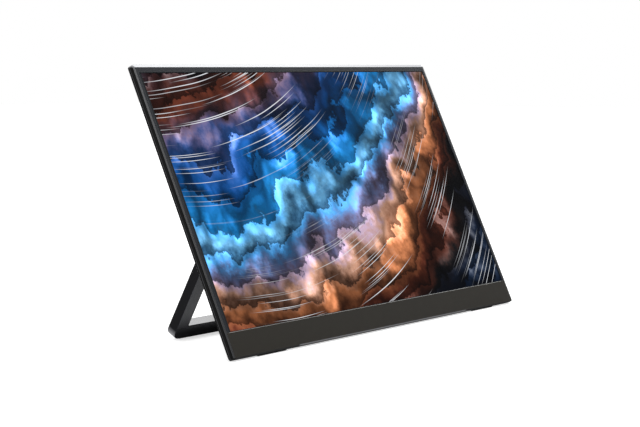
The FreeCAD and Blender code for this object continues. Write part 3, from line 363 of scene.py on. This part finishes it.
# Diodes: yellow phosphor under a smooth resin
diodeLook = {"name": "phosphor_filled_silicone", "colour": "#E9DFA6", "second": "#E0D48F",
             "grain": 0.2, "cloud": 2, "rough": (0.3, 0.4), "bump": 0.1}
# Foam tape: black cells that take the light
foamLook = {"name": "closed_cell_foam", "colour": "#1A1A1C", "second": "#222224",
            "grain": 0.4, "cloud": 3, "rough": (0.85, 0.95), "bump": 0.6}
# Thermal pad: soft, blue-grey and dusty
siliconeLook = {"name": "soft_silicone_pad", "colour": "#8F9CB0", "second": "#8592A6",
                "grain": 0.3, "cloud": 4, "rough": (0.6, 0.7), "bump": 0.2}
# Coils: pressed grey powder, dull and grainy
ferriteLook = {"name": "pressed_ferrite", "colour": "#3A3A3C", "second": "#313133",
               "grain": 0.2, "cloud": 2, "rough": (0.55, 0.65), "bump": 0.3}
# Leads: smooth red insulation
wireLook = {"name": "extruded_red_insulation", "colour": "#98221C", "second": "#8A1C17",
            "grain": 0.2, "cloud": 3, "rough": (0.35, 0.42), "bump": 0.1}
# Speaker cones: smooth dark film
coneLook = {"name": "pressed_speaker_film", "colour": "#2A2A2C", "second": "#242426",
            "grain": 0.2, "cloud": 3, "rough": (0.3, 0.38), "bump": 0.1}
# Display glass: thin and grey-green with a hard shine
glassLook = {"name": "thin_display_glass", "colour": "#8FA09B", "second": "#879893",
             "grain": 0.1, "cloud": 30, "rough": (0.04, 0.07), "bump": 0.02}

# Speaker mesh: woven polyester. Height = the greater of two sine waves, one across and one up, with one
# wave for each thread, which leaves dark holes between the threads. Thread and depth are in millimetres.
fabric = {"name": "woven_polyester_mesh", "thread": 0.35, "stops": [(0.35, "#050505"), (0.8, "#2B2B2D")],
          "bump": 0.6, "depth": 0.05, "rough": 0.8}


def wovenMesh(look):
    material = bpy.data.materials.new(look["name"])
    tree = emptyTree(material)
    x, y, z = add(tree, "SeparateXYZ", [casePlace(tree)]).outputs
    turns = [product(tree, axis, 2 * math.pi / look["thread"]) for axis in (x, z)]
    waves = [add(tree, "Math", [turn], operation="SINE") for turn in turns]
    height = add(tree, "Math", waves, operation="MAXIMUM")
    share = add(tree, "MapRange", [height, -1.0, 1.0])
    surfaced(tree, {"Base Color": add(tree, "ValToRGB", [share], look["stops"]), "Roughness": look["rough"],
                    "Normal": add(tree, "Bump", {"Height": height, "Strength": look["bump"],
                                                 "Distance": look["depth"] * mm})})
    return material


# A generic picture of cloud banks: layers along a bowed diagonal, blue in the middle, lilac, orange and
# rust beside it, each layer with billows in two sizes, and thin light trails that run the same way in the
# dark parts. Places and scales count half the picture's height as one.
clouds = {"turn": 0.42, "bow": 0.16, "broad": 0.9, "broadDetail": 2.0, "broadReach": 0.9,
          "fine": 3.6, "fineDetail": 7.0, "fineRough": 0.62, "fineReach": 0.55, "layers": 4.2,
          "layerShift": 0.3, "hueSpread": 0.34, "hueMiddle": 0.5, "gain": 5.3, "contrast": 1.22,
          "crest": 0.85, "crestPower": 3.0}
bigBillow = {"scale": 2.6, "reach": 0.35, "soft": 0.25, "stops": [(0.0, 1.0), (0.35, 0.66), (0.60, 0.20)]}
smallBillow = {"scale": 7.0, "reach": 0.20, "soft": 0.25, "stops": [(0.0, 1.0), (0.35, 0.74), (0.62, 0.45)]}
layerStops = [(0.0, 0.25), (0.6, 0.75), (0.93, 1.0), (1.0, 0.25)]
hueStops = [(0.0, "#0A1E36"), (0.10, "#1B1718"), (0.20, "#7A3C28"), (0.29, "#D68556"), (0.355, "#D8A58C"),
            (0.41, "#A19FD4"), (0.46, "#4FA6F0"), (0.51, "#78C6FA"), (0.57, "#1E96E8"), (0.67, "#0C62B8"),
            (0.74, "#2C4C88"), (0.80, "#6A5468"), (0.86, "#944A34"), (0.93, "#45211C"), (1.0, "#0C1828")]

# Light trails: cells much longer than wide, with a lit core, of which only those past the cut are drawn
trails = {"gain": 1.6, "bend": 0.05, "coreShare": 0.3, "core": 0.8, "soft": 0.15,
          "light": (0.92, 0.95, 1.0, 1), "fadeStops": [(0.16, 0.03), (0.62, 1.0)]}
longTrail = {"along": 0.32, "across": 34.0, "cut": 0.60, "width": 0.16}
shortTrail = {"along": 0.8, "across": 80.0, "cut": 0.74, "width": 0.24}
noiseMiddle = (0.5, 0.5, 0.5)


# Vector plus the noise's three colours, each less its middle value, times the reach
def shiftedBy(tree, vector, noise, reach):
    centred = add(tree, "VectorMath", [noise.outputs["Color"], noiseMiddle], operation="SUBTRACT")
    shift = add(tree, "VectorMath", [centred, reach], operation="SCALE")
    return add(tree, "VectorMath", [vector, shift], operation="ADD")


# Along = distance along the diagonal, and across = distance up from it less the bow times along squared
def alongAndAcross(tree, vector):
    turned = add(tree, "Mapping", {"Vector": vector, "Rotation": (0, clouds["turn"], 0)})
    along, depth, up = add(tree, "SeparateXYZ", [turned]).outputs
    bowed = product(tree, along, along, clouds["bow"])
    return along, add(tree, "Math", [up, bowed], operation="SUBTRACT")


# Soft round cells, bright in their middles and dark between them
def billows(tree, bent, fine, look):
    ruffled = shiftedBy(tree, bent, fine, look["reach"])
    cells = add(tree, "TexVoronoi", {"Vector": ruffled, "Scale": look["scale"], "Smoothness": look["soft"]},
                feature="SMOOTH_F1")
    return add(tree, "ValToRGB", [cells.outputs["Distance"]], look["stops"])


def trailLines(tree, along, across, look):
    stretched = add(tree, "CombineXYZ", [product(tree, along, look["along"]),
                                         product(tree, across, look["across"])])
    cells = add(tree, "TexVoronoi", {"Vector": stretched, "Scale": 1.0}, voronoi_dimensions="2D")
    spot = add(tree, "ValToRGB", [cells.outputs["Distance"]],
               [(0.0, 1.0), (look["width"] * trails["coreShare"], trails["core"]), (look["width"], 0.0)])
    chance = add(tree, "SeparateXYZ", [cells.outputs["Color"]])
    drawn = add(tree, "ValToRGB", [chance], [(look["cut"], 0.0), (look["cut"] + trails["soft"], 1.0)])
    return product(tree, spot, drawn)


def cloudPicture(tree, flat):
    flat = add(tree, "VectorMath", [flat, 2 / case["pictureHeight"]], operation="SCALE")
    broad = add(tree, "TexNoise", {"Vector": flat, "Scale": clouds["broad"], "Detail": clouds["broadDetail"]})
    fine = add(tree, "TexNoise", {"Vector": flat, "Scale": clouds["fine"], "Detail": clouds["fineDetail"],
                                  "Roughness": clouds["fineRough"]})
    bent = shiftedBy(tree, flat, broad, clouds["broadReach"])
    across = alongAndAcross(tree, shiftedBy(tree, bent, fine, clouds["fineReach"]))[1]

    # Shade = big billows times small billows times the layer's own run from dark to bright, raised to a power
    layer = add(tree, "Math", [across, clouds["layers"], clouds["layerShift"]], operation="MULTIPLY_ADD")
    layer = add(tree, "ValToRGB", [add(tree, "Math", [layer], operation="FRACT")], layerStops)
    shade = product(tree, billows(tree, bent, fine, bigBillow), billows(tree, bent, fine, smallBillow), layer)
    shade = add(tree, "Math", [shade, clouds["contrast"]], operation="POWER")

    # Colour = the hue across the diagonal times the shade, and white light on the brightest crests
    hue = add(tree, "Math", [across, clouds["hueSpread"], clouds["hueMiddle"]], operation="MULTIPLY_ADD")
    hue = add(tree, "ValToRGB", [hue], hueStops)
    lit = add(tree, "VectorMath", [hue, product(tree, shade, clouds["gain"])], operation="SCALE")
    crest = add(tree, "Math", [shade, clouds["crestPower"]], operation="POWER")
    lit = add(tree, "VectorMath", [lit, product(tree, crest, clouds["crest"])], operation="ADD")

    # Trails lie over it, away from the middle of the diagonal
    bowed = alongAndAcross(tree, shiftedBy(tree, flat, broad, trails["bend"]))
    lines = [trailLines(tree, *bowed, look) for look in (longTrail, shortTrail)]
    lines = add(tree, "Math", lines, operation="MAXIMUM")
    away = add(tree, "ValToRGB", [aside(tree, across)], trails["fadeStops"])
    lines = product(tree, lines, away, trails["gain"])
    return add(tree, "Mix", [lines, lit, trails["light"]], data_type="RGBA")


# Screen: hard-coated polariser with a fine haze, which glows with the picture and is dark outside it. The
# haze and the dark border at the left are in millimetres.
screen = {"name": "anti_glare_polariser_lit_picture", "darkBorder": 1.7, "outside": "#26282A",
          "inside": "#030304", "haze": 0.125, "hazeDetail": 2.0, "bump": 0.05, "depth": 0.02, "glow": 0.9,
          "rough": 0.4, "specular": 0.015}


def litScreen(look):
    material = bpy.data.materials.new(look["name"])
    tree = emptyTree(material)
    flat = casePlace(tree)
    x, y, z = add(tree, "SeparateXYZ", [flat]).outputs
    halfWidth, halfHeight = case["pictureWidth"] / 2, case["pictureHeight"] / 2
    shown = product(tree, add(tree, "Math", [x, halfWidth], operation="LESS_THAN"),
                    add(tree, "Math", [x, look["darkBorder"] - halfWidth], operation="GREATER_THAN"),
                    add(tree, "Math", [aside(tree, z), halfHeight], operation="LESS_THAN"))
    glow = add(tree, "VectorMath", [cloudPicture(tree, flat), shown], operation="SCALE")
    ink = add(tree, "Mix", [shown, linear(look["outside"]), linear(look["inside"])], data_type="RGBA")
    haze = add(tree, "TexNoise", {"Vector": flat, "Scale": 1 / look["haze"], "Detail": look["hazeDetail"]})
    bump = add(tree, "Bump", {"Height": haze, "Strength": look["bump"], "Distance": look["depth"] * mm})
    surfaced(tree, {"Base Color": ink, "Emission Color": glow, "Emission Strength": look["glow"],
                    "Roughness": look["rough"], "Specular IOR Level": look["specular"], "Normal": bump})
    return material


# Every material slot of the record gets one of the looks above
slotLooks = {
    "bezel_plastic": bezelLook, "chin_plastic": chinLook, "shell_aluminium": shellLook,
    "housing_plastic": housingLook, "stand_aluminium": standLook, "foot_rubber": rubberLook,
    "key_plastic": keyLook, "socket_steel": nickelLook, "screw_steel": nickelLook, "hinge_steel": zincLook,
    "tray_steel": zincLook, "black_steel": blackSteelLook, "standoff_brass": brassLook,
    "chip_plastic": blackPlasticLook, "module_plastic": blackPlasticLook, "speaker_plastic": blackPlasticLook,
    "connector_plastic": connectorLook, "circuit_board": boardLook, "flex_film": flexLook,
    "white_film": whiteFilmLook, "clear_film": clearFilmLook, "clear_acrylic": clearFilmLook,
    "white_plastic": diodeLook, "foam_tape": foamLook, "pad_silicone": siliconeLook,
    "coil_ferrite": ferriteLook, "lead_insulation": wireLook, "cone_film": coneLook, "panel_glass": glassLook,
}
looksByName = {look["name"]: look for look in slotLooks.values()}
finishes = {name: grained(look) for name, look in looksByName.items()}
slotMaterials = {slot: finishes[look["name"]] for slot, look in slotLooks.items()}
slotMaterials["mesh_fabric"] = wovenMesh(fabric)
slotMaterials["screen_film"] = litScreen(screen)
for part in frame["record"]["subparts"]:
    for place in nodes[part["node"]].material_slots:
        place.material = slotMaterials[part["material_slot"]]
print("materials set:", len(slotMaterials))


def newObject(name, points, faces, material):
    mesh = bpy.data.meshes.new(name)
    mesh.from_pydata(points, [], faces)
    mesh.materials.append(material)
    made = bpy.data.objects.new(name, mesh)
    bpy.context.scene.collection.objects.link(made)
    return made


# Gold contacts on the tongues of the three sockets: electroplated, warm and bright with faint marks. Their
# places are in millimetres of the case's frame.
goldLook = {"name": "gold_plated_contact", "colour": "#D9B25E", "second": "#CFA650",
            "grain": 0.1, "cloud": 1, "rough": (0.2, 0.28), "bump": 0.05, "metal": 1.0}
contacts = {"middleY": 8.6, "wide": 0.26, "high": 0.05, "ramp": 0.15, "sunk": 0.02}
twelveRow = {"halfThick": 0.35, "pitch": 0.5, "counts": (12, 12), "from": 160.2, "to": 163.8}
contactRows = [{**twelveRow, "z": -41.2}, {**twelveRow, "z": -55.2},
               {"z": -71.2, "halfThick": 0.3, "pitch": 0.74, "counts": (10, 9), "from": 160.0, "to": 163.5}]
# Corners 0 to 3 follow a contact's profile on its lower edge and 4 to 7 on its upper edge
barFaces = np.array([(0, 1, 2, 3), (7, 6, 5, 4), (0, 4, 5, 1), (1, 5, 6, 2), (2, 6, 7, 3), (3, 7, 4, 0)])
barCorners = 8
edgeShares = np.array([-0.5, 0.5])  # a contact's two edges, as shares of its width from its middle


# One row of contacts on one wide face of a tongue. Each is a low bar whose height rises over the ramp,
# stays flat and falls again along X, and the bars stand along Z at one pitch.
def contactRow(row, side, count):
    profileX = [row["from"], row["from"] + contacts["ramp"], row["to"] - contacts["ramp"], row["to"]]
    height = np.array([-contacts["sunk"], contacts["high"], contacts["high"], -contacts["sunk"]])
    middles = row["z"] + (np.arange(count) - (count - 1) / 2) * row["pitch"]
    bars = np.zeros((count, 2, len(profileX), 3))
    bars[..., 0] = profileX
    bars[..., 1] = contacts["middleY"] + side * (row["halfThick"] + height)
    bars[..., 2] = (middles[:, None] + edgeShares * contacts["wide"])[:, :, None]
    order = barFaces if side > 0 else barFaces[:, ::-1]
    return bars.reshape(-1, 3), (order + np.arange(count)[:, None, None] * barCorners).reshape(-1, 4)


points, faces = np.zeros((0, 3)), np.zeros((0, 4), int)
for row in contactRows:
    for side, count in zip((1, -1), row["counts"]):
        newPoints, newFaces = contactRow(row, side, count)
        faces = np.concatenate([faces, newFaces + len(points)])
        points = np.concatenate([points, newPoints])
points = leanedPoints(points)
socketContacts = newObject("socket_contacts", points.tolist(), faces.tolist(), grained(goldLook))
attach(socketContacts, "display")
print("socket contacts made:", len(faces), "faces")

# Floor: one matte white sweep, with half its side in metres. It keeps a faint shadow, and the camera sees it
# glow up to white.
sweep = {"name": "matte_white_sweep", "half": 6.0, "colour": "#E4E4E4", "glow": 0.62, "mirrored": 0.05}
white = (1, 1, 1, 1)
sweepMaterial = bpy.data.materials.new(sweep["name"])
tree = emptyTree(sweepMaterial)
rays = add(tree, "LightPath").outputs
mirrored = product(tree, rays["Is Glossy Ray"], sweep["mirrored"])
seen = add(tree, "Math", [rays["Is Camera Ray"], rays["Is Transmission Ray"]], operation="MAXIMUM")
seen = add(tree, "Math", [seen, mirrored], operation="MAXIMUM")
glow = add(tree, "Emission", {"Color": white, "Strength": product(tree, seen, sweep["glow"])})
paint = add(tree, "BsdfDiffuse", {"Color": linear(sweep["colour"])})
add(tree, "OutputMaterial", {"Surface": add(tree, "AddShader", [paint, glow])})
corners = [(x * sweep["half"], y * sweep["half"], 0) for x, y in ((-1, -1), (1, -1), (1, 1), (-1, 1))]
floor = newObject("floor", corners, [(0, 1, 2, 3)], sweepMaterial)

# World: white where the camera looks, and for the light a sky that fades towards the front, bright overhead
sky = {"front": 0.3, "back": 0.95, "fadeFrom": -0.6, "fadeTo": 0.6,
       "top": 1.7, "topFrom": 0.6, "topFull": 0.92}
world = bpy.data.worlds.new("studio")
bpy.context.scene.world = world
tree = emptyTree(world)
x, y, z = add(tree, "SeparateXYZ", [add(tree, "TexCoord").outputs["Generated"]]).outputs
around = add(tree, "MapRange", [y, sky["fadeFrom"], sky["fadeTo"], sky["front"], sky["back"]])
overhead = add(tree, "MapRange", [z, sky["topFrom"], sky["topFull"], 0.0, sky["top"]])
light = add(tree, "Math", [around, overhead], operation="MAXIMUM")
strength = add(tree, "Mix", [add(tree, "LightPath").outputs["Is Camera Ray"], light, 1.0])
add(tree, "OutputWorld", {"Surface": add(tree, "Background", {"Color": white, "Strength": strength})})

# Lamps: a soft box high at the right, a little behind, and a weaker one in front at the left
lampTarget = Vector((0, 0, 0.1))
lamps = {"softBoxHigh": {"place": (1.75, 0.25, 1.5), "size": 1.6, "power": 24.0},
         "softBoxLeft": {"place": (-1.0, -1.25, 1.45), "size": 1.6, "power": 14.0}}
for name, look in lamps.items():
    data = bpy.data.lights.new(name, "AREA")
    data.shape = "SQUARE"
    data.size = look["size"]
    data.energy = look["power"]
    lamp = bpy.data.objects.new(name, data)
    lamp.location = look["place"]
    lamp.rotation_euler = (lampTarget - lamp.location).to_track_quat("-Z", "Y").to_euler()
    bpy.context.scene.collection.objects.link(lamp)

# Camera: solved from the photograph, with a slight roll; place in millimetres from the picture's middle
view = {"place": Vector((-991.138, -774.217, 90.844)), "ahead": Vector((0.77836, 0.621506, -0.088807)),
        "roll": -0.00138, "lens": 91.87, "sensor": 36.0, "nearest": 0.05, "farthest": 50.0}
cameraData = bpy.data.cameras.new("camera")
cameraData.sensor_fit = "HORIZONTAL"
cameraData.sensor_width = view["sensor"]
cameraData.lens = view["lens"]
cameraData.clip_start = view["nearest"]
cameraData.clip_end = view["farthest"]
camera = bpy.data.objects.new("camera", cameraData)
camera.location = caseOrigin + view["place"] * mm
camera.rotation_mode = "QUATERNION"
camera.rotation_quaternion = view["ahead"].to_track_quat("-Z", "Y") @ Quaternion((0, 0, 1), view["roll"])
bpy.context.scene.collection.objects.link(camera)
bpy.context.scene.camera = camera
bpy.context.scene.view_settings.view_transform = "Standard"
print("stage, lamps and camera set")
